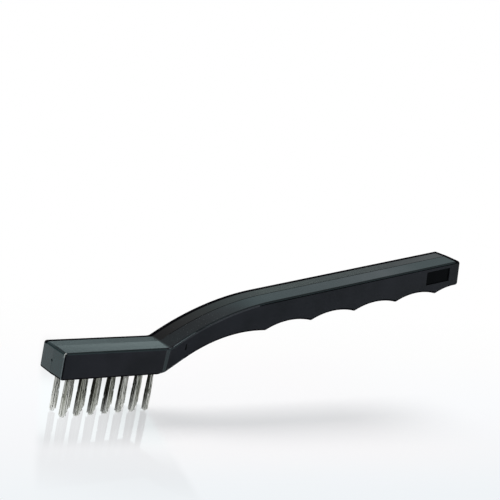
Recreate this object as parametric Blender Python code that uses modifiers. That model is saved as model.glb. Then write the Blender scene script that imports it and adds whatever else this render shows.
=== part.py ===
"""Wire scratch brush with a moulded plastic handle and three rows of staple-set wire tufts.

Units are metres and +Z is up. The tips of the wires lie on Z = 0 and the length of the brush
head runs along +X. The middle plane of the handle is Y = 0.
"""

import math
import random

import bmesh
import bpy
from mathutils import Matrix, Vector

# Brush head, a flat block
HEAD_LENGTH = 0.0433
HEAD_HEIGHT = 0.0100
HEAD_WIDTH = 0.0137
HEAD_RIM_RADIUS = 0.0006

# Neck, which climbs from the head to the grip
NECK_ANGLE = math.radians(32.2)
NECK_RUN = 0.0204
NECK_TOP_RADIUS = 0.110
NECK_UNDER_RADIUS = 0.061
CREASE_RADIUS = 0.0020
HEEL_RADIUS = 0.0070
HEEL_SETBACK = 0.0013
SHOULDER_LENGTH = 0.0013
SHOULDER_BEFORE_CREASE = 0.0015

# Grip, with finger scallops along its underside
GRIP_WIDTH = 0.0142
GRIP_ANGLE = math.radians(8.9)
GRIP_LENGTH = 0.12175
GRIP_DEPTH = 0.0126
GRIP_TAPER = math.radians(0.62)
GRIP_RIM_RADIUS = 0.0008
CUSP_TO_END = 0.0128
NECK_CLEAR = 0.0150
SCALLOP_PITCH = 0.0221
SCALLOP_DEPTH = 0.00193
SCALLOP_STEPS = 12

# Rounding of the moulding: the corners keep a small radius where they reach the flat sides
DRAFT_ANGLE = math.radians(0.8)
SIDE_CORNER_RADIUS = 0.0004
RIM_BLEND = 0.0040
RIM_STEPS = 4
ARC_STEP = math.radians(6.0)
LONGEST_CHORD = 0.0030
ARC_SHARE = 0.98
FLAT_TURN = 0.01
SAME_PLACE = 0.00008

# Sunken panel in the side of the grip, near its end
PANEL_LENGTH = 0.0131
PANEL_HEIGHT = 0.0057
PANEL_SINK = 0.0005
PANEL_TO_END = 0.0059
PANEL_TO_TOP = 0.0021

# Small marks that the mould leaves
GATE_DIAMETER = 0.0010
GATE_SINK = 0.0003
GATE_BELOW_TOP = 0.0050
WITNESS_LENGTH = 0.0021
WITNESS_WIDTH = 0.0006
WITNESS_SINK = 0.0003
WITNESS_FROM_CREASE = 0.0066

# Tufts and their holes
ROW_SPACING = 0.0031
OUTER_ROW_TUFTS = 7
TUFT_PITCH = 0.0057
FIRST_TUFT = 0.0056
TRIM = 0.0147
HOLE_DIAMETER = 0.0025
HOLE_DEPTH = 0.0065
HOLE_SIDES = 12
FIT_GAP = 0.0003
ROOT_RECESS = 0.0003
STRAND_RADIUS = 0.00016
STRANDS_IN_RINGS = (1, 6, 11)
STRAND_SPACING = 0.00038
STRAND_GRIP = 0.0008
STRAND_WANDER = 0.00004
STRAND_SEED = 7
TUFT_FLARE = 1.25

# Anchor, the flat staple that each tuft is folded over
ANCHOR_BITE = 0.0003
ANCHOR_THICKNESS = 0.00035
ANCHOR_HEIGHT = 0.0012
FOLD_THICKNESS = 0.0005

OBJECT_NAME = "wire_scratch_brush"


def clear_scene():
    for old in list(bpy.data.objects):
        bpy.data.objects.remove(old, do_unlink=True)


def make_collection(name):
    collection = bpy.data.collections.new(name)
    bpy.context.scene.collection.children.link(collection)
    return collection


def make_material(name, colour, roughness, metallic):
    material = bpy.data.materials.new(name)
    material.use_nodes = True
    shader = material.node_tree.nodes["Principled BSDF"]
    shader.inputs["Base Color"].default_value = (*colour, 1.0)
    shader.inputs["Roughness"].default_value = roughness
    shader.inputs["Metallic"].default_value = metallic
    return material


def handle_plastic():
    return make_material("black_polypropylene", (0.018, 0.021, 0.023), 0.45, 0.0)


def tuft_wire():
    return make_material("stainless_wire", (0.42, 0.42, 0.38), 0.35, 1.0)


def anchor_metal():
    return make_material("anchor_steel", (0.55, 0.53, 0.48), 0.40, 1.0)


def make_object(name, mesh, collection, material=None):
    piece = bpy.data.objects.new(name, mesh)
    collection.objects.link(piece)
    if material is not None:
        mesh.materials.append(material)
    return piece


def mesh_from(bm, name):
    bmesh.ops.recalc_face_normals(bm, faces=bm.faces[:])
    mesh = bpy.data.meshes.new(name)
    bm.to_mesh(mesh)
    bm.free()
    return mesh


def hide_cutter(cutter):
    cutter.hide_render = True
    cutter.display_type = "WIRE"


def boolean(target, tool, operation, name):
    modifier = target.modifiers.new(name, "BOOLEAN")
    modifier.operation = operation
    modifier.solver = "EXACT"
    modifier.object = tool


def arc_between(start, end, sagitta, steps):
    """Points of a circular arc after start and before end, bulging up by the sagitta."""
    chord = end - start
    half = chord.length / 2
    radius = (half * half + sagitta * sagitta) / (2 * sagitta)
    along = chord.normalized()
    up = Vector((-along.y, along.x))
    if up.y < 0:
        up = -up
    centre = (start + end) / 2 + up * (sagitta - radius)
    sweep = math.asin(half / radius)
    points = []
    for step in range(1, steps):
        angle = -sweep + 2 * sweep * step / steps
        points.append(centre + along * radius * math.sin(angle) + up * radius * math.cos(angle))
    return points


def corner_turns(corners):
    """How far the outline turns at each corner, in radians."""
    turns = []
    for index, (point, _) in enumerate(corners):
        before = corners[index - 1][0] - point
        after = corners[(index + 1) % len(corners)][0] - point
        turns.append(math.pi - before.angle(after))
    return turns


def arc_reaches(corners, turns):
    """Length that each corner's arc takes of its edges, less where two arcs would meet."""
    reaches = [radius * math.tan(turn / 2) for (_, radius), turn in zip(corners, turns)]
    for index, (point, _) in enumerate(corners):
        edge = (point - corners[index - 1][0]).length
        wanted = reaches[index] + reaches[index - 1]
        if wanted > edge * ARC_SHARE:
            reaches[index] *= edge * ARC_SHARE / wanted
            reaches[index - 1] *= edge * ARC_SHARE / wanted
    return reaches


def rounded(corners):
    """Outline of the corners (point, radius), each turned into an arc of its radius."""
    outline = []
    turns = corner_turns(corners)
    reaches = arc_reaches(corners, turns)
    for index, (point, radius) in enumerate(corners):
        turn = turns[index]
        reach = reaches[index]
        if radius == 0 or turn < FLAT_TURN:
            outline.append(point)
            continue
        before = (corners[index - 1][0] - point).normalized()
        after = (corners[(index + 1) % len(corners)][0] - point).normalized()
        start = point + before * reach
        end = point + after * reach
        inward = (before + after).normalized()
        centre = point + inward * (reach / math.sin(turn / 2))
        arc_length = turn * reach / math.tan(turn / 2)
        steps = max(2, round(turn / ARC_STEP), math.ceil(arc_length / LONGEST_CHORD))
        first = start - centre
        last = end - centre
        sweep = math.atan2(first.x * last.y - first.y * last.x, first.dot(last))
        for step in range(steps + 1):
            outline.append(centre + Matrix.Rotation(sweep * step / steps, 2) @ first)
    return outline


def direction(angle):
    return Vector((math.cos(angle), math.sin(angle)))


def head_end_x():
    """X of the head's end face, so that the whole handle is centred on X = 0."""
    end = direction(GRIP_ANGLE)
    rounded_off = corner_radius(GRIP_WIDTH, GRIP_RIM_RADIUS) * (end.x + end.y - 1)
    longest = HEAD_LENGTH + NECK_RUN + GRIP_LENGTH * end.x + grip_end_height() * end.y - rounded_off
    return -longest / 2


def grip_end_height():
    """Depth of the grip at its end face, which cuts the last scallop short."""
    half = SCALLOP_PITCH / 2
    radius = (half * half + SCALLOP_DEPTH * SCALLOP_DEPTH) / (2 * SCALLOP_DEPTH)
    lift = math.sqrt(radius * radius - (CUSP_TO_END - half) ** 2) - (radius - SCALLOP_DEPTH)
    return GRIP_DEPTH - lift


def depth_at(along):
    """Depth of the grip at its cusps, which grows towards the end."""
    return GRIP_DEPTH - (GRIP_LENGTH - along) * math.tan(GRIP_TAPER)


def cusp_places():
    """Distances along the grip of the cusps between the scallops, from the end back to the neck."""
    places = []
    along = GRIP_LENGTH - CUSP_TO_END
    while along > NECK_CLEAR:
        places.append(along)
        along -= SCALLOP_PITCH
    return places


def head_top():
    return TRIM + HEAD_HEIGHT


def crease_x():
    return head_end_x() + HEAD_LENGTH


def shoulder_x():
    return crease_x() - SHOULDER_BEFORE_CREASE


def grip_corner():
    """Where the straight lines of the neck's ramp and the grip's top would meet."""
    return Vector((crease_x() + NECK_RUN, head_top() + NECK_RUN * math.tan(NECK_ANGLE)))


def on_grip(along, below):
    """Point of the side view at a distance along the grip's top line and below it."""
    axis = direction(GRIP_ANGLE)
    return grip_corner() + axis * along + Vector((axis.y, -axis.x)) * below


def corner_radius(width, rim_radius):
    """Radius of an outer corner in the middle plane, from which the draft and the rim take some."""
    return SIDE_CORNER_RADIUS + rim_radius + (width / 2 - rim_radius) * math.tan(DRAFT_ANGLE)


def scallop_corners():
    """Underside of the grip from its end back to the cusp next to the neck."""
    radius = corner_radius(GRIP_WIDTH, GRIP_RIM_RADIUS)
    corners = [(on_grip(GRIP_LENGTH, grip_end_height()), radius)]
    for number, along in enumerate(cusp_places()):
        cusp = on_grip(along, depth_at(along))
        following = on_grip(along + SCALLOP_PITCH, depth_at(along + SCALLOP_PITCH))
        arc = arc_between(cusp, following, SCALLOP_DEPTH, SCALLOP_STEPS)
        if number == 0:
            arc = [point for point in arc if (point - cusp).length < CUSP_TO_END - 2 * radius]
        corners += [(point, 0) for point in reversed(arc)]
        corners.append((cusp, radius))
    return corners


def handle_outline():
    """Side view of the handle as points (x, z)."""
    left = head_end_x()
    top = head_top()
    crease = Vector((crease_x(), top))
    heel = Vector((crease_x() - HEEL_SETBACK, TRIM))
    nearest = cusp_places()[-1]
    first_cusp = on_grip(nearest, depth_at(nearest))
    under_neck = Vector((heel.x + (first_cusp.y - heel.y) / math.tan(NECK_ANGLE), first_cusp.y))
    head_radius = corner_radius(HEAD_WIDTH, HEAD_RIM_RADIUS)
    corners = [
        (Vector((left, top)), head_radius),
        (crease, CREASE_RADIUS),
        (grip_corner(), NECK_TOP_RADIUS),
        (on_grip(GRIP_LENGTH, 0), corner_radius(GRIP_WIDTH, GRIP_RIM_RADIUS)),
    ]
    corners += scallop_corners()
    corners += [
        (under_neck, NECK_UNDER_RADIUS),
        (heel, HEEL_RADIUS),
        (Vector((left, TRIM)), head_radius),
    ]
    return rounded(corners)


def with_points_at(outline, places):
    """The outline with a point at each X place that it crosses: one that is near, or a new one."""
    for point in outline:
        for place in places:
            if abs(point.x - place) < SAME_PLACE:
                point.x = place
    dense = []
    count = len(outline)
    for index, point in enumerate(outline):
        following = outline[(index + 1) % count]
        dense.append(point)
        low = min(point.x, following.x) + SAME_PLACE / 2
        high = max(point.x, following.x) - SAME_PLACE / 2
        crossings = [place for place in places if low < place < high]
        for place in sorted(crossings, reverse=following.x < point.x):
            share = (place - point.x) / (following.x - point.x)
            dense.append(point.lerp(following, share))
    return dense


def outline_inset(outline, distances):
    """The outline moved into the material, square to its edges, by one distance a point."""
    moved = []
    count = len(outline)
    for index, point in enumerate(outline):
        back = (point - outline[index - 1]).normalized()
        ahead = (outline[(index + 1) % count] - point).normalized()
        inward_back = Vector((back.y, -back.x))
        normal = (inward_back + Vector((ahead.y, -ahead.x))).normalized()
        moved.append(point + normal * (distances[index] / normal.dot(inward_back)))
    return moved


def blend(value_before, value_after, place, start, end):
    share = min(max((place - start) / (end - start), 0.0), 1.0)
    return value_before + (value_after - value_before) * share


def half_width_at(x):
    return blend(HEAD_WIDTH, GRIP_WIDTH, x, shoulder_x(), shoulder_x() + SHOULDER_LENGTH) / 2


def rim_radius_at(x):
    return blend(HEAD_RIM_RADIUS, GRIP_RIM_RADIUS, x, shoulder_x() - RIM_BLEND, shoulder_x() + RIM_BLEND)


def half_handle_mesh():
    """The -Y half of the handle, open at the middle plane: drafted walls, then a round rim.

    Only the flat walls and the flat side are shaded flat.
    """
    shoulder = (shoulder_x(), shoulder_x() + SHOULDER_LENGTH)
    outline = with_points_at(handle_outline(), shoulder)
    widths = [half_width_at(point.x) for point in outline]
    radii = [rim_radius_at(point.x) for point in outline]
    slope = math.tan(DRAFT_ANGLE)
    sections = [(outline, [0.0] * len(outline))]
    for step in range(RIM_STEPS + 1):
        angle = math.pi / 2 * step / RIM_STEPS
        walls = [width - radius for width, radius in zip(widths, radii)]
        insets = [wall * slope + radius * (1 - math.cos(angle)) for wall, radius in zip(walls, radii)]
        depths = [wall + radius * math.sin(angle) for wall, radius in zip(walls, radii)]
        sections.append((outline_inset(outline, insets), depths))
    bm = bmesh.new()
    rings = []
    for points, depths in sections:
        rings.append([bm.verts.new((point.x, -depth, point.y)) for point, depth in zip(points, depths)])
    count = len(outline)
    for ring, outer in zip(rings, rings[1:]):
        for index in range(count):
            following = (index + 1) % count
            face = bm.faces.new((ring[index], outer[index], outer[following], ring[following]))
            straight = (outline[following] - outline[index]).length > LONGEST_CHORD
            face.smooth = not (straight and ring is rings[0])
    bm.faces.new(rings[-1][::-1])
    for place in shoulder:
        ends = [vertex for vertex, point in zip(rings[-1], outline) if abs(point.x - place) < SAME_PLACE / 2]
        bmesh.ops.connect_verts(bm, verts=ends)
    mesh = bpy.data.meshes.new("handle")
    bm.to_mesh(mesh)
    bm.free()
    return mesh


def mirror_halves(handle):
    mirror = handle.modifiers.new("second_half", "MIRROR")
    mirror.use_axis = (False, True, False)
    mirror.use_clip = True
    mirror.merge_threshold = 0.00001


def box_mesh(name, boxes):
    """One mesh of boxes, each given as (centre, size, turn about Y)."""
    bm = bmesh.new()
    for centre, size, turn in boxes:
        made = bmesh.ops.create_cube(bm, size=1.0)
        place = Matrix.Translation(centre) @ Matrix.Rotation(turn, 4, "Y") @ Matrix.Diagonal((*size, 1.0))
        bmesh.ops.transform(bm, matrix=place, verts=made["verts"])
    return mesh_from(bm, name)


def cylinder_mesh(name, cylinders, sides):
    """One mesh of cylinders, each given as (centre, radius, length, matrix that turns it)."""
    bm = bmesh.new()
    for centre, radius, length, turn in cylinders:
        place = Matrix.Translation(centre) @ turn
        bmesh.ops.create_cone(bm, cap_ends=True, segments=sides, radius1=radius, radius2=radius,
                              depth=length, matrix=place)
    return mesh_from(bm, name)


def tuft_places():
    """Name and (x, y) of each tuft: two outer rows, and a middle row half a pitch over."""
    places = []
    rows = (("near", -ROW_SPACING, 0.0, OUTER_ROW_TUFTS),
            ("middle", 0.0, TUFT_PITCH / 2, OUTER_ROW_TUFTS - 1),
            ("far", ROW_SPACING, 0.0, OUTER_ROW_TUFTS))
    for row, y, shift, count in rows:
        for number in range(count):
            x = head_end_x() + FIRST_TUFT + shift + number * TUFT_PITCH
            places.append((f"{row}_{number + 1}", x, y))
    return places


def hole_top():
    return TRIM + HOLE_DEPTH


def anchor_z():
    """Height of an anchor's middle: the wires fold over its upper edge."""
    return hole_top() - FIT_GAP - FOLD_THICKNESS - FIT_GAP - ANCHOR_HEIGHT / 2


def anchor_length():
    return HOLE_DIAMETER + 2 * ANCHOR_BITE


def plug_radius():
    return HOLE_DIAMETER / 2 - FIT_GAP


def cut_tuft_holes(handle, cutters):
    below = HOLE_DEPTH / 2
    length = HOLE_DEPTH + below
    upright = Matrix.Identity(4)
    holes = [(Vector((x, y, hole_top() - length / 2)), HOLE_DIAMETER / 2, length, upright)
             for _, x, y in tuft_places()]
    holes_cutter = make_object("tuft_hole_cutter", cylinder_mesh("tuft_holes", holes, HOLE_SIDES), cutters)
    slot = Vector((anchor_length(), ANCHOR_THICKNESS, ANCHOR_HEIGHT)) + Vector((2, 2, 2)) * FIT_GAP
    slots = [(Vector((x, y, anchor_z())), slot, 0.0) for _, x, y in tuft_places()]
    slots_cutter = make_object("anchor_slot_cutter", box_mesh("anchor_slots", slots), cutters)
    for cutter, label in ((holes_cutter, "tuft_holes"), (slots_cutter, "anchor_slots")):
        hide_cutter(cutter)
        boolean(handle, cutter, "DIFFERENCE", label)


def cut_panel(handle, cutters):
    """Shallow rectangle in the -Y side of the grip."""
    along = GRIP_LENGTH - PANEL_TO_END - PANEL_LENGTH / 2
    middle = on_grip(along, PANEL_TO_TOP + PANEL_HEIGHT / 2)
    centre = Vector((middle.x, -GRIP_WIDTH / 2, middle.y))
    size = Vector((PANEL_LENGTH, 2 * PANEL_SINK, PANEL_HEIGHT))
    cutter = make_object("panel_cutter", box_mesh("panel", [(centre, size, -GRIP_ANGLE)]), cutters)
    hide_cutter(cutter)
    boolean(handle, cutter, "DIFFERENCE", "panel")


def cut_mould_marks(handle, cutters):
    """The gate's dimple in the head's end face and a short groove in the side of the neck."""
    along_x = Matrix.Rotation(math.pi / 2, 4, "Y")
    gate_place = Vector((head_end_x(), 0.0, head_top() - GATE_BELOW_TOP))
    gate_mesh = cylinder_mesh("gate", [(gate_place, GATE_DIAMETER / 2, 2 * GATE_SINK, along_x)], HOLE_SIDES)
    gate = make_object("gate_cutter", gate_mesh, cutters)
    groove_place = Vector((crease_x() + WITNESS_FROM_CREASE, -GRIP_WIDTH / 2, head_top()))
    groove_size = Vector((WITNESS_WIDTH, 2 * WITNESS_SINK, WITNESS_LENGTH))
    groove = make_object("groove_cutter", box_mesh("groove", [(groove_place, groove_size, 0.0)]), cutters)
    for cutter, label in ((gate, "gate_mark"), (groove, "side_groove")):
        hide_cutter(cutter)
        boolean(handle, cutter, "DIFFERENCE", label)


def make_handle(parts, cutters, material):
    handle = make_object("handle", half_handle_mesh(), parts, material)
    mirror_halves(handle)
    cut_tuft_holes(handle, cutters)
    cut_panel(handle, cutters)
    cut_mould_marks(handle, cutters)
    return handle


def strand_rings():
    """Polar places (radius, angle) of the strands in a tuft's root."""
    places = []
    for ring, count in enumerate(STRANDS_IN_RINGS):
        for number in range(count):
            places.append((ring * STRAND_SPACING, 2 * math.pi * number / count))
    return places


def strands_mesh(name, x, y, rng):
    """Three-sided wires that spread a little from the root and end flat on Z = 0."""
    bm = bmesh.new()
    top = TRIM + ROOT_RECESS + STRAND_GRIP
    for radius, angle in strand_rings():
        outward = Vector((math.cos(angle), math.sin(angle), 0.0))
        root = Vector((x, y, top)) + outward * radius
        wander = Vector((rng.uniform(-1, 1), rng.uniform(-1, 1), 0.0)) * STRAND_WANDER
        tip = Vector((x, y, 0.0)) + outward * radius * TUFT_FLARE + wander
        turn = Matrix.Rotation(angle, 4, "Z")
        made = bmesh.ops.create_cone(bm, cap_ends=True, segments=3, radius1=STRAND_RADIUS,
                                     radius2=STRAND_RADIUS, depth=2.0, matrix=turn)
        for vertex in made["verts"]:
            end = tip if vertex.co.z < 0 else root
            vertex.co = Vector((vertex.co.x, vertex.co.y, 0.0)) + end
    return mesh_from(bm, name)


def make_tuft(label, x, y, parts, cutters, material, rng):
    """A tuft: its root in the hole, with a window for the anchor, and its strands."""
    plug_top = hole_top() - FIT_GAP
    plug_bottom = TRIM + ROOT_RECESS
    length = plug_top - plug_bottom
    plug = (Vector((x, y, plug_bottom + length / 2)), plug_radius(), length, Matrix.Identity(4))
    tuft = make_object(f"tuft_{label}", cylinder_mesh(f"tuft_{label}", [plug], HOLE_SIDES), parts)
    tuft.data.materials.append(material)
    strands = make_object(f"strands_{label}", strands_mesh(f"strands_{label}", x, y, rng), cutters)
    window_size = Vector((2 * HOLE_DIAMETER, ANCHOR_THICKNESS + 2 * FIT_GAP, ANCHOR_HEIGHT + 2 * FIT_GAP))
    window_mesh = box_mesh(f"window_{label}", [(Vector((x, y, anchor_z())), window_size, 0.0)])
    window = make_object(f"window_{label}", window_mesh, cutters)
    boolean(tuft, strands, "UNION", "strands")
    boolean(tuft, window, "DIFFERENCE", "anchor_window")
    for helper in (strands, window):
        hide_cutter(helper)
    return tuft


def make_anchor(label, x, y, parts, material):
    size = Vector((anchor_length(), ANCHOR_THICKNESS, ANCHOR_HEIGHT))
    mesh = box_mesh(f"anchor_{label}", [(Vector((0, 0, 0)), size, 0.0)])
    anchor = make_object(f"anchor_{label}", mesh, parts, material)
    anchor.location = (x, y, anchor_z())
    return anchor


def main():
    clear_scene()
    parts = make_collection(OBJECT_NAME)
    cutters = make_collection("cutters")
    make_handle(parts, cutters, handle_plastic())
    wire = tuft_wire()
    staple = anchor_metal()
    rng = random.Random(STRAND_SEED)
    for label, x, y in tuft_places():
        make_tuft(label, x, y, parts, cutters, wire, rng)
        make_anchor(label, x, y, parts, staple)


main()
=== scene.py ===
"""Looks of the wire scratch brush: a black moulded handle and three rows of steel wire tufts.

Everything is in metres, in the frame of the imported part. The tips of the wires touch the floor
at Z = 0, the brush head runs along +X, and the middle plane of the handle is Y = 0.
"""

import math
import random

import bmesh
import bpy
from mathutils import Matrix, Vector


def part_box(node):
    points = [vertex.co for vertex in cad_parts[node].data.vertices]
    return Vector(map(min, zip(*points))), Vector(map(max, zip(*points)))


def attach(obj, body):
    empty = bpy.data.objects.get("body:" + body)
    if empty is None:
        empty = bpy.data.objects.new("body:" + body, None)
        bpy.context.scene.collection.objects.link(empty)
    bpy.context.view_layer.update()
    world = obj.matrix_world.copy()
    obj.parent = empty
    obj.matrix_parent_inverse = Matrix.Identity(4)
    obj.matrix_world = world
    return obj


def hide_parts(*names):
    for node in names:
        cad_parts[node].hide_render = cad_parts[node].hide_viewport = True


# Camera, placed where the photograph was taken from
CAMERA_PLACE = (-0.34140, -0.36652, 0.17096)
CAMERA_TURN = (76.790, -11.229, -38.955)
CAMERA_LENS = 100.19
SENSOR_WIDTH = 36.0
CLIP_START = 0.01
CLIP_END = 50.0

# Handle: how its mesh is cleaned and smoothed
WELD_DISTANCE = 0.000005
SAME_PLANE_ANGLE = math.radians(0.2)
SMOOTH_ANGLE = math.radians(32)
CUT_SNAP = 0.000002

# Handle: the two halves of the mould meet in a fine groove round the middle plane, and the
# walls lean in a little from there to the sides
PARTING_HALF_WIDTH = 0.00016
PARTING_DEPTH = 0.00012
EXTRA_DRAFT = math.radians(0.7)

# Handle: what the groove and the lean leave out, which is the flat sides, the wires' holes, the
# gate's dimple in the end face and the narrow walls of the recesses
FLAT_SIDE_NORMAL = 0.999
HOLE_REGION_HEIGHT = 0.0072
GATE_BELOW_TOP = 0.0050
GATE_REGION = 0.0009
RECESS_WALL_NORMAL = 0.05
RECESS_WALL_SPAN = 0.001

# How far a face is turned towards a direction, as a share of its normal
SLIGHTLY = 0.05
A_LITTLE = 0.1
SOMEWHAT = 0.2
PARTLY = 0.3
HALFWAY = 0.5
MOSTLY = 0.7
FULLY = 0.9

# Where the plastic's finishes lie: bands painted dark as shade along the far edge of the top, the
# far edge of the head's end face and the end of the grip, then distances from the head's free end
FAR_BAND = 0.0023
END_BAND = 0.0007
GRIP_END_BAND = 0.0028
END_CORNER = 0.0012
SHOULDER_FROM = 0.0405
TOP_HALVES_FROM = 0.0425
SHOULDER_TO = 0.0475
NECK_TO = 0.080

# The parting groove is painted dark, as shade, from this height above the handle's underside on
PARTING_FROM_HEIGHT = 0.0125

# Recesses in the near side: their walls lie beyond the first share of the handle's half width,
# and the panel's floor lies within the second
RECESS_WALL_SHARE = 0.94
PANEL_FLOOR_SHARE = 0.96

# Plastic, as (colour, roughness, specular level), with the name of an axis in place of a colour
# that changes along it; part of the difference is painted light and shade, as noted at each finish
FINISHES = {
    "moulded_walls": ((0.008, 0.012, 0.013), 0.14, 0.5),
    # Flat sides: a painted highlight near the back of the head, and painted shade towards the grip's
    # end
    "sides_painted_shading": ("X", 0.42, 0.1),
    # The recess's floor, and its walls towards the head: near-black and almost without reflection,
    # far darker than the rest of the plastic
    "near_black_panel": ((0.0012, 0.0013, 0.0018), 0.14, 0.02),
    # Rims painted near-black and without reflection: painted shade along edges turned from the light
    "rims_painted_dark": ((0.004, 0.004, 0.005), 0.55, 0.0),
    # The near vertical edge of the head's end: a painted highlight, brightening to a painted glint
    # at its top
    "end_edge_painted_highlight": ("Z", 0.22, 0.5),
    # Near top rims of the neck: paler than the walls, a painted highlight
    "neck_edge_painted_highlight": ((0.038, 0.040, 0.046), 0.42, 0.1),
    # The head's end face: the wall plastic with its red taken out, a painted tint of the cool light
    # on it
    "end_face_painted_tint": ((0.001, 0.011, 0.012), 0.14, 0.5),
    # Far half of the top behind the head: painted light and shade along it, and a weaker, greener
    # painted reflection
    "far_top_painted_shading": ("X", 0.14, 0.35),
    # Near half of the top behind the head: painted light and shade along it
    "near_top_painted_shading": ("X", 0.14, 0.5),
    "shoulder": ((0.009, 0.007, 0.009), 0.14, 0.5),
}

# Colours that change along an axis, as (place on it, colour)
FADES = {
    # The end edge's painted highlight, brightening to a painted glint near the top of the head
    "end_edge_painted_highlight": (
        (0.0226, (0.082, 0.093, 0.100)),
        (0.0236, (0.36, 0.38, 0.37)),
    ),
    # Painted light and shade along the far half of the top
    "far_top_painted_shading": (
        (-0.048, (0.0, 0.0, 0.0)),
        (-0.038, (0.007, 0.007, 0.007)),
        (-0.024, (0.001, 0.0, 0.0)),
        (-0.013, (0.002, 0.0, 0.0)),
        (-0.004, (0.015, 0.018, 0.016)),
        (0.042, (0.003, 0.001, 0.001)),
        (0.085, (0.036, 0.034, 0.036)),
    ),
    # Painted light and shade along the near half of the top: a painted highlight round X = 0.05,
    # painted shade past it
    "near_top_painted_shading": (
        (-0.020, (0.010, 0.014, 0.015)),
        (0.010, (0.008, 0.006, 0.008)),
        (0.050, (0.026, 0.021, 0.025)),
        (0.070, (0.002, 0.001, 0.002)),
    ),
    # Flat sides: a painted highlight near the back of the head, and painted shade towards the grip's
    # end
    "sides_painted_shading": (
        (-0.092, (0.012, 0.012, 0.016)),
        (-0.052, (0.018, 0.017, 0.022)),
        (-0.046, (0.012, 0.012, 0.016)),
        (0.078, (0.012, 0.012, 0.016)),
        (0.092, (0.007, 0.007, 0.009)),
    ),
}

# Tint of what the plastic mirrors straight on, and that of the one finish that has its own, the
# far half of the top, whose greener tint is a painted tint of its reflection
PLASTIC_TINT = (0.72, 0.98, 1.03)
TINTS = {"far_top_painted_shading": (0.85, 0.86, 0.80)}

# Marks on all of the plastic: clouds in its colour, flow marks in its roughness, a fine grain,
# and worn edges in patches
CLOUD_SCALE = 70.0
CLOUD_DETAIL = 4.0
CLOUD_LEVELS = ((0.75, 0.75, 0.75), (1.25, 1.25, 1.25))
FLOW_STRETCH = (45.0, 900.0, 900.0)
FLOW_DETAIL = 3.0
FLOW_UNEVEN = 0.12
GRAIN_SCALE = 5200.0
GRAIN_DEPTH = 0.000003
WEAR_RADIUS = 0.0005
WEAR_NORMALS = (0.995, 0.90)
WEAR_PATCHES = (0.45, 0.75)
WEAR_SHARE = 0.5
WORN_COLOUR = (0.045, 0.052, 0.055)
WORN_ROUGHER = 0.25

# Values of a noise between which a colour, or a roughness, changes
COLOUR_NOISE = (0.35, 0.65)
ROUGH_NOISE = (0.3, 0.7)

# Wires: hairpins in layers on both sides of the anchor, of which only the legs leave the hole
WIRE_RADIUS = 0.00015
WIRE_PITCH = 0.00032
WIRE_SIDES = 8
WIRE_SMOOTH_ANGLE = math.radians(50)
WIRE_SEED = 17
BUNDLE_RADIUS = 0.00098
BEND_POINTS = 6
LEG_POINTS = 9
LEG_BOW = 0.00018

# Tips: how far they spread and stray, and how high above the floor they end, unevenly and
# higher at the tuft's rim
TIP_FLARE = 1.30
TIP_WANDER = 0.00024
TIP_GAP = 0.00003
TIP_UNEVEN = 0.00035
TIP_UNEVEN_POWER = 2
TIP_ROUNDING = 0.0013
TIP_ROUNDING_POWER = 3

# Steel of the wires, as (darker colour, lighter colour, how many lots of wire in twelve have it);
# the darkest steel darkens wires at random, and is painted shade on one side of most tufts
WIRE_FINISHES = {
    "dark_wire_and_painted_shade": ((0.014, 0.014, 0.011), (0.07, 0.07, 0.055), 1),
    "drawn_wire": ((0.36, 0.37, 0.31), (0.58, 0.59, 0.52), 5),
    "bright_wire": ((0.76, 0.77, 0.71), (0.94, 0.94, 0.89), 6),
}
SHADED_SIDE_NUMBER = 0
DRAWN_STRETCH = (9000.0, 9000.0, 160.0)
DRAWN_DEPTH = 0.000003
WIRE_ROUGHNESS = (0.16, 0.30)

# How far from a tuft's middle, towards the head's free end, its side painted dark as shade begins,
# by the tuft's number in its row, as a share of the bundle's radius; past 1.0 it has no such side
SHADED_SIDE_BEYOND = {"1": 1.3, "2": 0.60, "3": 0.50, "4": 0.42, "5": 0.50, "6": 0.65, "7": 0.52}

# Streaks across a tuft, and the share of their wires that keeps to the streak's own lot
STREAK_WIDTH = 0.00045
STREAK_SHARE = 0.75

# Painted highlight towards the wires' tips; towards their roots painted shade darkens them by a
# factor
TIP_PAINTED_HIGHLIGHT = (0.86, 0.86, 0.83)
TIP_HEIGHT = 0.0070
TIP_SHARE = 0.6
ROOT_HEIGHT = (0.0030, 0.0120)
ROOT_SHADE = 0.62

# Anchors: strip steel
STRIP_STRETCH = (300.0, 9000.0, 9000.0)
STRIP_PATCH_SCALE = 900.0
STRIP_PATCH_DETAIL = 3.0
STRIP_COLOURS = ((0.36, 0.35, 0.31), (0.58, 0.57, 0.53))
STRIP_ROUGHNESS = (0.25, 0.45)

# Floor: its colour changes along one direction, by the distance from the origin that way
FLOOR_SIZE = 24.0
FLOOR_GAP = 0.00002
GRADIENT_DIRECTION = (0.22, 0.975, 0.0)
GRADIENT_STOPS = (
    (-0.086, (0.871, 0.905, 0.930)),
    (-0.048, (0.922, 0.930, 0.947)),
    (-0.003, (0.956, 0.965, 0.982)),
    (0.054, (0.985, 0.985, 0.985)),
    (0.115, (1.0, 1.0, 1.0)),
)
FLOOR_COLOUR = (0.90, 0.90, 0.90, 1.0)

# Shadow: how much of the floor's look comes from the lamps, so that shadows show on it, and where
# that starts and stops along the gradient's direction and across it
SHADOW_SHARE = 0.46
SHADOW_FRONT = (-0.075, -0.045)
SHADOW_BACK = (0.03, 0.10)
SHADOW_LEFT = (-0.085, -0.040)
SHADOW_RIGHT = (0.025, 0.098)

# Polished part of the floor: its share of mirroring, how much paler it is, how far it reaches
# from the middle of the head, and its left and right borders as (direction, soft border)
MIRROR_SHARE = 0.21
MIRROR_LIFT = 0.03
MIRROR_ROUGHNESS = 0.06
MIRROR_REACH = (0.050, 0.085)
MIRROR_LEFT = ((0.853, -0.522, 0.0), (-0.0820, -0.0785))
MIRROR_RIGHT = ((0.933, -0.360, 0.0), (-0.0495, -0.0455))

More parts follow.
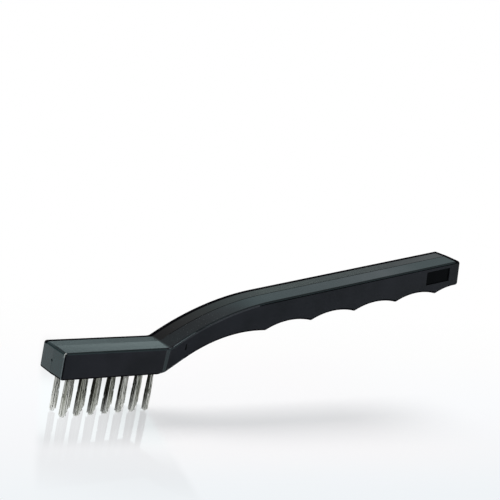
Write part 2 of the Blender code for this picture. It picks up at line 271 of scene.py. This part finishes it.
# Nearer to the camera the floor mirrors less, down to this factor
MIRROR_FADE = (-0.050, -0.038)
MIRROR_NEAR_SHARE = 0.42

# Room: its level by the sine of the height above the horizon, and its tints low down and higher
ROOM_LEVELS = (
    (0.0, 0.37),
    (0.33, 0.37),
    (0.385, 0.27),
    (0.455, 0.58),
    (0.56, 0.56),
    (0.66, 0.22),
    (1.0, 0.12),
)
LOW_TINT = (0.81, 1.0, 1.02)
HIGH_TINT = (1.22, 1.0, 1.05)
HIGH_FROM = 0.6

# Lamps, as (place, size, watts, colour, whether they are mirrored, whether they throw shadows)
WARM_WHITE = (1.0, 0.965, 0.96)
COOL_WHITE = (0.86, 1.0, 1.0)
LAMPS = {
    "back_softbox": ((-0.05, 0.56, 0.90), (0.7, 0.45), 9.4, WARM_WHITE, False, True),
    "front_softbox": ((-0.15, -0.50, 0.80), (0.35, 0.30), 2.0, WARM_WHITE, True, False),
    "strip_light": ((0.50, 0.74, 0.355), (0.34, 0.06), 0.057, COOL_WHITE, True, True),
}

MAIN_BODY = "root"


def make_camera():
    camera = bpy.data.objects.new("camera", bpy.data.cameras.new("camera"))
    bpy.context.scene.collection.objects.link(camera)
    camera.location = CAMERA_PLACE
    camera.rotation_euler = [math.radians(turn) for turn in CAMERA_TURN]
    camera.data.lens = CAMERA_LENS
    camera.data.sensor_width = SENSOR_WIDTH
    camera.data.clip_start = CLIP_START
    camera.data.clip_end = CLIP_END
    bpy.context.scene.camera = camera


def add_piece(name, mesh, materials):
    piece = bpy.data.objects.new(name, mesh)
    bpy.context.scene.collection.objects.link(piece)
    for material in materials:
        mesh.materials.append(material)
    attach(piece, MAIN_BODY)
    return piece


def new_material(name):
    material = bpy.data.materials.new(name)
    material.use_nodes = True
    return material, material.node_tree.nodes, material.node_tree.links


def noise(nodes, links, place, scale=1.0, detail=2.0, stretch=None):
    """A noise texture's value, on a stretched place if one is given."""
    if stretch:
        mapping = nodes.new("ShaderNodeMapping")
        links.new(place, mapping.inputs["Vector"])
        mapping.inputs["Scale"].default_value = stretch
        place = mapping.outputs[0]
    node = nodes.new("ShaderNodeTexNoise")
    links.new(place, node.inputs["Vector"])
    node.inputs["Scale"].default_value = scale
    node.inputs["Detail"].default_value = detail
    return node.outputs[0]


def axes_of(nodes, links, place):
    """The sockets X, Y and Z of a place."""
    split = nodes.new("ShaderNodeSeparateXYZ")
    links.new(place, split.inputs[0])
    return split.outputs


def math_node(nodes, links, operation, first, second):
    """A Math node whose inputs are sockets or numbers."""
    node = nodes.new("ShaderNodeMath")
    node.operation = operation
    for socket, value in zip(node.inputs, (first, second)):
        if isinstance(value, (int, float)):
            socket.default_value = value
        else:
            links.new(value, socket)
    return node.outputs[0]


def product(nodes, links, *values):
    result = values[0]
    for value in values[1:]:
        result = math_node(nodes, links, "MULTIPLY", result, value)
    return result


def map_range(nodes, links, value, low, high, to_low=0.0, to_high=1.0, smooth=False):
    node = nodes.new("ShaderNodeMapRange")
    node.interpolation_type = "SMOOTHSTEP" if smooth else "LINEAR"
    links.new(value, node.inputs["Value"])
    limits = {"From Min": low, "From Max": high, "To Min": to_low, "To Max": to_high}
    for name, number in limits.items():
        node.inputs[name].default_value = number
    return node.outputs["Result"]


def vector_math(nodes, links, operation, place, other):
    """The number that a place and a fixed vector give."""
    node = nodes.new("ShaderNodeVectorMath")
    node.operation = operation
    links.new(place, node.inputs[0])
    node.inputs[1].default_value = other
    return node.outputs["Value"]


def along(nodes, links, place, direction):
    """How far a place lies from the origin in a direction."""
    return vector_math(nodes, links, "DOT_PRODUCT", place, direction)


def distance_from(nodes, links, place, centre):
    return vector_math(nodes, links, "DISTANCE", place, centre)


def mix_colours(nodes, links, share, first, second, blend="MIX"):
    """A Mix node for colours, each of them a socket or three numbers."""
    node = nodes.new("ShaderNodeMix")
    node.data_type = "RGBA"
    node.blend_type = blend
    for name, value in (("Factor_Float", share), ("A_Color", first), ("B_Color", second)):
        socket = next(item for item in node.inputs if item.identifier == name)
        if isinstance(value, bpy.types.NodeSocket):
            links.new(value, socket)
        else:
            socket.default_value = value if isinstance(value, float) else (*value, 1.0)
    return next(item for item in node.outputs if item.identifier == "Result_Color")


def colour_ramp(nodes, links, value, stops):
    """A colour ramp with stops (position, colour)."""
    ramp = nodes.new("ShaderNodeValToRGB")
    links.new(value, ramp.inputs["Fac"])
    elements = ramp.color_ramp.elements
    elements.remove(elements[1])
    elements[0].position = stops[0][0]
    elements[0].color = (*stops[0][1], 1.0)
    for position, colour in stops[1:]:
        stop = elements.new(position)
        stop.color = (*colour, 1.0)
    return ramp.outputs["Color"]


def colours_along(nodes, links, value, stops):
    """A colour that changes with a value, with stops (value, colour)."""
    low = stops[0][0]
    high = stops[-1][0]
    shares = [((at - low) / (high - low), colour) for at, colour in stops]
    return colour_ramp(nodes, links, map_range(nodes, links, value, low, high), shares)


def mix_shaders(nodes, links, share, first, second):
    mix = nodes.new("ShaderNodeMixShader")
    links.new(share, mix.inputs[0])
    links.new(first, mix.inputs[1])
    links.new(second, mix.inputs[2])
    return mix.outputs[0]


def bump(nodes, links, height, depth):
    node = nodes.new("ShaderNodeBump")
    links.new(height, node.inputs["Height"])
    node.inputs["Strength"].default_value = 1.0
    node.inputs["Distance"].default_value = depth
    return node.outputs[0]


def edge_wear(nodes, links):
    """0 on flat ground and up to 1 along convex and concave edges."""
    rounded = nodes.new("ShaderNodeBevel")
    rounded.inputs["Radius"].default_value = WEAR_RADIUS
    likeness = nodes.new("ShaderNodeVectorMath")
    likeness.operation = "DOT_PRODUCT"
    links.new(rounded.outputs[0], likeness.inputs[0])
    links.new(nodes.new("ShaderNodeNewGeometry").outputs["Normal"], likeness.inputs[1])
    return map_range(nodes, links, likeness.outputs["Value"], *WEAR_NORMALS)


def plastic(name, colour, roughness, specular):
    """Black moulded plastic; colour is an axis where the finish's colour changes along one."""
    material, nodes, links = new_material(name)
    shader = nodes["Principled BSDF"]
    place = nodes.new("ShaderNodeTexCoord").outputs["Object"]
    cloud = noise(nodes, links, place, CLOUD_SCALE, CLOUD_DETAIL)
    flow = noise(nodes, links, place, detail=FLOW_DETAIL, stretch=FLOW_STRETCH)
    grain = noise(nodes, links, place, GRAIN_SCALE)
    if name in FADES:
        colour = colours_along(nodes, links, axes_of(nodes, links, place)[colour], FADES[name])
    clouded = map_range(nodes, links, cloud, *COLOUR_NOISE)
    clouds = mix_colours(nodes, links, clouded, *CLOUD_LEVELS)
    shade = mix_colours(nodes, links, 1.0, clouds, colour, "MULTIPLY")
    worn_patches = map_range(nodes, links, flow, *WEAR_PATCHES, 0.0, WEAR_SHARE)
    worn = product(nodes, links, edge_wear(nodes, links), worn_patches)
    shade = mix_colours(nodes, links, worn, shade, WORN_COLOUR)
    links.new(shade, shader.inputs["Base Color"])
    uneven = map_range(nodes, links, flow, *ROUGH_NOISE,
                       (1 - FLOW_UNEVEN) * roughness, (1 + FLOW_UNEVEN) * roughness)
    rougher = product(nodes, links, worn, WORN_ROUGHER)
    links.new(math_node(nodes, links, "ADD", uneven, rougher), shader.inputs["Roughness"])
    links.new(bump(nodes, links, grain, GRAIN_DEPTH), shader.inputs["Normal"])
    shader.inputs["Specular IOR Level"].default_value = specular
    shader.inputs["Specular Tint"].default_value = (*TINTS.get(name, PLASTIC_TINT), 1.0)
    return material


def metal(material, nodes, links, colour, lines, roughness):
    """Gives a material's shader a metal's colour, and a roughness and relief by its fine lines."""
    shader = nodes["Principled BSDF"]
    links.new(colour, shader.inputs["Base Color"])
    links.new(map_range(nodes, links, lines, *ROUGH_NOISE, *roughness), shader.inputs["Roughness"])
    links.new(bump(nodes, links, lines, DRAWN_DEPTH), shader.inputs["Normal"])
    shader.inputs["Metallic"].default_value = 1.0
    return material


def wire_steel(name, darker, lighter):
    """Drawn steel wire with fine lines along it, a painted highlight at the tips and painted shade
    at the roots.
    """
    material, nodes, links = new_material(name)
    place = nodes.new("ShaderNodeTexCoord").outputs["Object"]
    height = axes_of(nodes, links, place)["Z"]
    drawn = noise(nodes, links, place, stretch=DRAWN_STRETCH)
    shade = mix_colours(nodes, links, map_range(nodes, links, drawn, *COLOUR_NOISE), darker, lighter)
    # Painted shade towards the roots, under the head
    at_root = map_range(nodes, links, height, *ROOT_HEIGHT)
    shade = mix_colours(nodes, links, at_root, shade, (ROOT_SHADE,) * 3, "MULTIPLY")
    # Painted highlight towards the tips
    at_tip = map_range(nodes, links, height, TIP_HEIGHT, 0.0, 0.0, TIP_SHARE)
    shade = mix_colours(nodes, links, at_tip, shade, TIP_PAINTED_HIGHLIGHT)
    return metal(material, nodes, links, shade, drawn, WIRE_ROUGHNESS)


def anchor_steel():
    """Flat strip steel, cut across, with rolling lines along it."""
    material, nodes, links = new_material("anchor_strip")
    place = nodes.new("ShaderNodeTexCoord").outputs["Object"]
    rolled = noise(nodes, links, place, stretch=STRIP_STRETCH)
    patches = noise(nodes, links, place, STRIP_PATCH_SCALE, STRIP_PATCH_DETAIL)
    patchy = map_range(nodes, links, patches, *COLOUR_NOISE)
    shade = mix_colours(nodes, links, patchy, *STRIP_COLOURS)
    return metal(material, nodes, links, shade, rolled, STRIP_ROUGHNESS)


def is_outer_wall(face, holes_from, holes_to, holes_top, gate):
    """Whether a face is an outer wall, not a flat side or part of a hole, dimple or recess."""
    if abs(face.normal.y) > FLAT_SIDE_NORMAL:
        return False
    middle = face.calc_center_median()
    if holes_from < middle.x < holes_to and middle.z < holes_top:
        return False
    if (middle - gate).length < GATE_REGION and face.normal.x > -FULLY:
        return False
    across = [vertex.co.y for vertex in face.verts]
    narrow = max(across) - min(across) < RECESS_WALL_SPAN
    return not (narrow and abs(face.normal.y) < RECESS_WALL_NORMAL)


def cut(bm, place, direction):
    """Cuts every face that the plane through a place crosses in two."""
    geometry = bm.verts[:] + bm.edges[:] + bm.faces[:]
    bmesh.ops.bisect_plane(bm, geom=geometry, dist=CUT_SNAP, plane_co=place, plane_no=direction)


def grip_end_plane(bm):
    """A place on the grip's end face and the direction that it faces, in the middle plane."""
    ends = [face for face in bm.faces if face.normal.x > FULLY]
    face = max(ends, key=lambda end: end.calc_area())
    direction = face.normal.copy()
    direction.y = 0.0
    return face.calc_center_median(), direction.normalized()


def part_the_mould(bm, holes_from, holes_to, holes_top, low, high, end_plane):
    """Cuts the parting line's groove and leans the walls in from it on both sides."""
    middle_of_head = low.x + SHOULDER_FROM / 2
    head_top = max(vertex.co.z for vertex in bm.verts if vertex.co.x < middle_of_head)
    gate = Vector((low.x, 0.0, head_top - GATE_BELOW_TOP))
    for y in (-PARTING_HALF_WIDTH, 0.0, PARTING_HALF_WIDTH, high.y - FAR_BAND, high.y - END_BAND):
        cut(bm, (0.0, y, 0.0), (0.0, 1.0, 0.0))
    end_place, end_direction = end_plane
    cut(bm, end_place - GRIP_END_BAND * end_direction, end_direction)
    bm.normal_update()
    moves = []
    for vertex in bm.verts:
        outward = Vector()
        for face in vertex.link_faces:
            if is_outer_wall(face, holes_from, holes_to, holes_top, gate):
                outward += face.normal
        outward.y = 0.0
        if outward.length == 0.0:
            continue
        on_parting = abs(vertex.co.y) < PARTING_HALF_WIDTH / 2
        inward = PARTING_DEPTH if on_parting else math.tan(EXTRA_DRAFT) * abs(vertex.co.y)
        moves.append((vertex, outward.normalized() * -inward))
    for vertex, move in moves:
        vertex.co += move


def finish_of(face, low, high, end_plane):
    """The finish that a face of the handle has; low and high are the handle's corners."""
    normal = face.normal
    place = face.center
    from_end = place.x - low.x
    at_end = from_end < END_CORNER
    # The near vertical edge of the head's end: a painted highlight, and painted shade on its part
    # turned away
    if at_end and normal.x < -SOMEWHAT and normal.y < -SOMEWHAT:
        return "end_edge_painted_highlight" if normal.y > -MOSTLY else "rims_painted_dark"
    end_place, end_direction = end_plane
    by_grip_end = (place - end_place).dot(end_direction) > -GRIP_END_BAND
    # Rims in the far and grip-end bands of the top: painted shade
    if (place.y > high.y - FAR_BAND or by_grip_end) and normal.z > A_LITTLE:
        return "rims_painted_dark"
    straight_across = abs(normal.y) < A_LITTLE
    # Walls of the near side's recesses: near-black towards the head
    if straight_across and place.y < RECESS_WALL_SHARE * low.y:
        return "near_black_panel" if place.x < 0 else "sides_painted_shading"
    # The far edge of the head's end face: painted shade
    if place.y > high.y - END_BAND and normal.x < -HALFWAY:
        return "rims_painted_dark"
    # The parting groove on the top: painted shade
    if abs(place.y) < PARTING_HALF_WIDTH and place.z > low.z + PARTING_FROM_HEIGHT:
        return "rims_painted_dark"
    if abs(normal.y) > FLAT_SIDE_NORMAL:
        # The recess's floor: near-black
        in_panel = normal.y < 0 and place.y > PANEL_FLOOR_SHARE * low.y
        return "near_black_panel" if in_panel else "sides_painted_shading"
    if straight_across:
        # The bottom edge of the head's end face: painted shade
        if at_end and normal.x < -A_LITTLE and normal.z < -A_LITTLE:
            return "rims_painted_dark"
        # The head's end face: a painted tint of the light on it
        if at_end and normal.x < -FULLY:
            return "end_face_painted_tint"
        # The two halves of the top behind the head, with painted light and shade along them
        if from_end > TOP_HALVES_FROM and normal.z > A_LITTLE and normal.x < -SLIGHTLY:
            return "far_top_painted_shading" if place.y > 0 else "near_top_painted_shading"
        return "moulded_walls"
    # Rims facing the far side: painted shade
    if normal.y > 0:
        return "rims_painted_dark"
    # Near top rims of the neck: a painted highlight
    if SHOULDER_TO < from_end < NECK_TO and normal.z > SLIGHTLY and normal.y < -MOSTLY:
        return "neck_edge_painted_highlight"
    if SHOULDER_FROM < from_end < SHOULDER_TO:
        return "shoulder"
    # Rims turned away from the light: painted shade; the rest is plain wall
    turned_away = normal.y < -MOSTLY or normal.x > PARTLY or normal.z < -PARTLY
    return "rims_painted_dark" if normal.z < SOMEWHAT and turned_away else "moulded_walls"


def dress_handle(mouth):
    """The handle's own shape, welded and smoothed, with the marks that its mould leaves."""
    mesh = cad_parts["handle"].data.copy()
    bm = bmesh.new()
    bm.from_mesh(mesh)
    bmesh.ops.remove_doubles(bm, verts=bm.verts[:], dist=WELD_DISTANCE)
    low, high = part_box("handle")
    holes_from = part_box("tuft_near_1")[0].x
    holes_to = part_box("tuft_near_7")[1].x
    bmesh.ops.dissolve_limit(bm, angle_limit=SAME_PLANE_ANGLE, verts=bm.verts[:], edges=bm.edges[:])
    end_plane = grip_end_plane(bm)
    part_the_mould(bm, holes_from, holes_to, mouth + HOLE_REGION_HEIGHT, low, high, end_plane)
    bm.to_mesh(mesh)
    bm.free()
    mesh.normals_split_custom_set_from_vertices([(0, 0, 0)] * len(mesh.vertices))
    mesh.shade_smooth()
    mesh.set_sharp_from_angle(angle=SMOOTH_ANGLE)
    mesh.materials.clear()
    plastics = [plastic(name, *finish) for name, finish in FINISHES.items()]
    handle = add_piece("brush_handle", mesh, plastics)
    numbers = {name: number for number, name in enumerate(FINISHES)}
    for face in mesh.polygons:
        face.material_index = numbers[finish_of(face, low, high, end_plane)]
    weighted = handle.modifiers.new("flat_faces_stay_flat", "WEIGHTED_NORMAL")
    weighted.keep_sharp = True
    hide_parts("handle")


def dress_anchors():
    strip = anchor_steel()
    for name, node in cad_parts.items():
        if name.startswith("anchor_"):
            for slot in node.material_slots:
                slot.material = strip


def tube(bm, points, radius, sides, turn, finish):
    """A tube along the points, closed at both ends, with the material of that number."""
    faces = []
    rings = []
    for index, point in enumerate(points):
        ahead = points[min(index + 1, len(points) - 1)] - points[max(index - 1, 0)]
        upright = ahead.to_track_quat("Z", "X").to_matrix()
        ring = []
        for side in range(sides):
            angle = turn + 2 * math.pi * side / sides
            offset = upright @ Vector((math.cos(angle), math.sin(angle), 0.0))
            ring.append(bm.verts.new(point + offset * radius))
        rings.append(ring)
    for ring, following in zip(rings, rings[1:]):
        for side in range(sides):
            beside = (side + 1) % sides
            corners = (ring[side], ring[beside], following[beside], following[side])
            faces.append(bm.faces.new(corners))
    faces.append(bm.faces.new(rings[0][::-1]))
    faces.append(bm.faces.new(rings[-1]))
    for face in faces:
        face.material_index = finish


def hairpin_places(anchor_half_thickness):
    """Places (x, y) of the wires beside the anchor, in layers, for one side of it."""
    places = []
    y = anchor_half_thickness + WIRE_PITCH / 2
    while y < BUNDLE_RADIUS:
        half = math.sqrt(BUNDLE_RADIUS ** 2 - (y - anchor_half_thickness) ** 2)
        count = max(1, int(2 * half / WIRE_PITCH))
        for number in range(count):
            places.append(((number - (count - 1) / 2) * WIRE_PITCH, y))
        y += WIRE_PITCH
    return places


def random_offset(rng, size):
    """A sideways offset of up to a size along X and Y."""
    return Vector((rng.uniform(-1, 1), rng.uniform(-1, 1), 0.0)) * size


def leg(x, y, centre, anchor_half_thickness, anchor_bottom, mouth, rng):
    """Points of one leg of a hairpin from beside the anchor down to its tip."""
    side = 1 if y > 0 else -1
    outward = Vector((x, y - side * anchor_half_thickness, 0.0))
    drift = random_offset(rng, TIP_WANDER)
    bow = random_offset(rng, LEG_BOW)
    rim_share = min(1.0, outward.length / BUNDLE_RADIUS)
    rounding = rim_share ** TIP_ROUNDING_POWER * TIP_ROUNDING
    tip_z = TIP_GAP + rounding + rng.uniform(0, 1) ** TIP_UNEVEN_POWER * TIP_UNEVEN
    points = [centre + Vector((x, y, anchor_bottom)), centre + outward + Vector((0, 0, mouth))]
    for number in range(1, LEG_POINTS + 1):
        share = number / LEG_POINTS
        flare = outward * (1 + (TIP_FLARE - 1) * share)
        spread = flare + drift * share + bow * math.sin(math.pi * share)
        points.append(centre + spread + Vector((0, 0, mouth + (tip_z - mouth) * share)))
    return points


def wire_finish(x, shaded_side_beyond, lots, streaks, rng):
    """The number of a wire's material: painted shade on the tuft's shaded side, else by streaks
    across the tuft.
    """
    # Painted shade: the darkest steel on the tuft's shaded side
    if x < -shaded_side_beyond * BUNDLE_RADIUS:
        return SHADED_SIDE_NUMBER
    streak = round(x / STREAK_WIDTH)
    if streak not in streaks:
        streaks[streak] = rng.choice(lots)
    return streaks[streak] if rng.random() < STREAK_SHARE else rng.choice(lots)


def wire_bundle(name, anchor_name, mouth, lots, rng):
    """The mesh of a tuft: hairpins of wire that are folded over their anchor."""
    anchor_low, anchor_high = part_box(anchor_name)
    centre = Vector(((anchor_low.x + anchor_high.x) / 2, (anchor_low.y + anchor_high.y) / 2, 0.0))
    half_thickness = (anchor_high.y - anchor_low.y) / 2
    shaded_side_beyond = SHADED_SIDE_BEYOND[name[-1]]
    streaks = {}
    bm = bmesh.new()
    for x, y in hairpin_places(half_thickness):
        bend = []
        for step in range(BEND_POINTS + 1):
            angle = math.pi * step / BEND_POINTS
            rise = anchor_high.z + y * math.sin(angle)
            bend.append(centre + Vector((x, -y * math.cos(angle), rise)))
        near = leg(x, -y, centre, half_thickness, anchor_low.z, mouth, rng)
        far = leg(x, y, centre, half_thickness, anchor_low.z, mouth, rng)
        points = near[::-1] + bend + far
        finish = wire_finish(x, shaded_side_beyond, lots, streaks, rng)
        tube(bm, points, WIRE_RADIUS, WIRE_SIDES, rng.uniform(0, math.pi), finish)
    mesh = bpy.data.meshes.new(name)
    bm.to_mesh(mesh)
    bm.free()
    mesh.shade_smooth()
    mesh.set_sharp_from_angle(angle=WIRE_SMOOTH_ANGLE)
    return mesh


def dress_tufts(mouth):
    rng = random.Random(WIRE_SEED)
    wires = []
    lots = []
    for number, (name, (darker, lighter, lot_count)) in enumerate(WIRE_FINISHES.items()):
        wires.append(wire_steel(name, darker, lighter))
        lots += [number] * lot_count
    for node in sorted(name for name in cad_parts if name.startswith("tuft_")):
        label = node.removeprefix("tuft_")
        mesh = wire_bundle(f"wires_{label}", f"anchor_{label}", mouth, lots, rng)
        piece = add_piece(f"wires_{label}", mesh, wires)
        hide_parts(node)


def shadow_field(nodes, links, deep, across):
    """How much of the floor's look comes from the lamps and their shadows, with soft borders."""
    return product(nodes, links,
                   map_range(nodes, links, deep, *SHADOW_FRONT, 0.0, SHADOW_SHARE, smooth=True),
                   map_range(nodes, links, deep, *SHADOW_BACK, 1.0, 0.0, smooth=True),
                   map_range(nodes, links, across, *SHADOW_LEFT, smooth=True),
                   map_range(nodes, links, across, *SHADOW_RIGHT, 1.0, 0.0, smooth=True))


def mirror_field(nodes, links, place, deep, head_middle):
    """How much the floor mirrors: most under the brush head, with soft borders."""
    from_head = distance_from(nodes, links, place, head_middle)
    left_direction, left_border = MIRROR_LEFT
    right_direction, right_border = MIRROR_RIGHT
    from_left = along(nodes, links, place, left_direction)
    from_right = along(nodes, links, place, right_direction)
    return product(nodes, links,
                   map_range(nodes, links, from_head, *MIRROR_REACH, MIRROR_SHARE, 0.0, smooth=True),
                   map_range(nodes, links, deep, *MIRROR_FADE, MIRROR_NEAR_SHARE, 1.0, smooth=True),
                   map_range(nodes, links, from_left, *left_border, smooth=True),
                   map_range(nodes, links, from_right, *right_border, 1.0, 0.0, smooth=True))


def floor_material(head_middle):
    """A pale floor that shows its own colour to the camera, with the object's shadow on it.

    Under the brush head it is polished, so that the wires are mirrored faintly.
    """
    material, nodes, links = new_material("floor")
    nodes.remove(nodes["Principled BSDF"])
    place = nodes.new("ShaderNodeNewGeometry").outputs["Position"]
    deep = along(nodes, links, place, GRADIENT_DIRECTION)
    across = along(nodes, links, place, (GRADIENT_DIRECTION[1], -GRADIENT_DIRECTION[0], 0.0))
    glow = nodes.new("ShaderNodeEmission")
    links.new(colours_along(nodes, links, deep, GRADIENT_STOPS), glow.inputs["Color"])
    lit = nodes.new("ShaderNodeBsdfDiffuse")
    lit.inputs["Color"].default_value = FLOOR_COLOUR
    mirror = nodes.new("ShaderNodeBsdfGlossy")
    mirror.inputs["Roughness"].default_value = MIRROR_ROUGHNESS
    in_shadow = shadow_field(nodes, links, deep, across)
    near_head = mirror_field(nodes, links, place, deep, head_middle)
    lift = product(nodes, links, near_head, MIRROR_LIFT / MIRROR_SHARE)
    links.new(math_node(nodes, links, "ADD", lift, 1.0), glow.inputs["Strength"])
    shown = mix_shaders(nodes, links, in_shadow, glow.outputs[0], lit.outputs[0])
    shown = mix_shaders(nodes, links, near_head, shown, mirror.outputs[0])
    rays = nodes.new("ShaderNodeLightPath").outputs
    seen = math_node(nodes, links, "ADD", rays["Is Camera Ray"], rays["Is Glossy Ray"])
    seen = math_node(nodes, links, "ADD", seen, rays["Is Transmission Ray"])
    final = mix_shaders(nodes, links, seen, lit.outputs[0], shown)
    links.new(final, nodes["Material Output"].inputs["Surface"])
    return material


def make_floor(head_middle):
    bm = bmesh.new()
    bmesh.ops.create_grid(bm, x_segments=1, y_segments=1, size=FLOOR_SIZE / 2)
    mesh = bpy.data.meshes.new("floor")
    bm.to_mesh(mesh)
    bm.free()
    mesh.materials.append(floor_material(head_middle))
    floor = bpy.data.objects.new("floor", mesh)
    bpy.context.scene.collection.objects.link(floor)
    floor.location.z = -FLOOR_GAP


def add_lamp(name, place, size, power, colour, mirrored, shadowed):
    """A soft rectangular lamp that looks at the middle of the object."""
    lamp = bpy.data.lights.new(name, "AREA")
    lamp.shape = "RECTANGLE"
    lamp.size, lamp.size_y = size
    lamp.energy = power
    lamp.color = colour
    lamp.use_shadow = shadowed
    holder = bpy.data.objects.new(name, lamp)
    bpy.context.scene.collection.objects.link(holder)
    holder.location = place
    holder.rotation_euler = Vector(place).to_track_quat("Z", "Y").to_euler()
    holder.visible_glossy = mirrored


def world_light():
    """A grey room with a brighter band round it, darkest overhead."""
    world = bpy.data.worlds.new("studio")
    bpy.context.scene.world = world
    world.use_nodes = True
    nodes = world.node_tree.nodes
    links = world.node_tree.links
    height = axes_of(nodes, links, nodes.new("ShaderNodeTexCoord").outputs["Generated"])["Z"]
    stops = []
    for place, level in ROOM_LEVELS:
        tint = HIGH_TINT if place > HIGH_FROM else LOW_TINT
        stops.append((place, tuple(level * part for part in tint)))
    links.new(colour_ramp(nodes, links, height, stops), nodes["Background"].inputs["Color"])


def light_scene():
    world_light()
    for name, settings in LAMPS.items():
        add_lamp(name, *settings)
    bpy.context.scene.view_settings.view_transform = "Standard"


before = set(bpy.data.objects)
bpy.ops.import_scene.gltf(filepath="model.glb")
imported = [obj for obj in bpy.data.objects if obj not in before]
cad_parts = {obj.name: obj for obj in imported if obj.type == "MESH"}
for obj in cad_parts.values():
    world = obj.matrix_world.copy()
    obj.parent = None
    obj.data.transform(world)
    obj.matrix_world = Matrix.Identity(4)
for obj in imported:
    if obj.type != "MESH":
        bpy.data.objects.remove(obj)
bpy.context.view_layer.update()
make_camera()
mouth_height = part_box("handle")[0].z
dress_handle(mouth_height)
dress_anchors()
dress_tufts(mouth_height)
first_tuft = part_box("tuft_near_1")
last_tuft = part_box("tuft_far_7")
head_middle = (first_tuft[0] + last_tuft[1]) / 2
make_floor((head_middle.x, head_middle.y, 0.0))
light_scene()
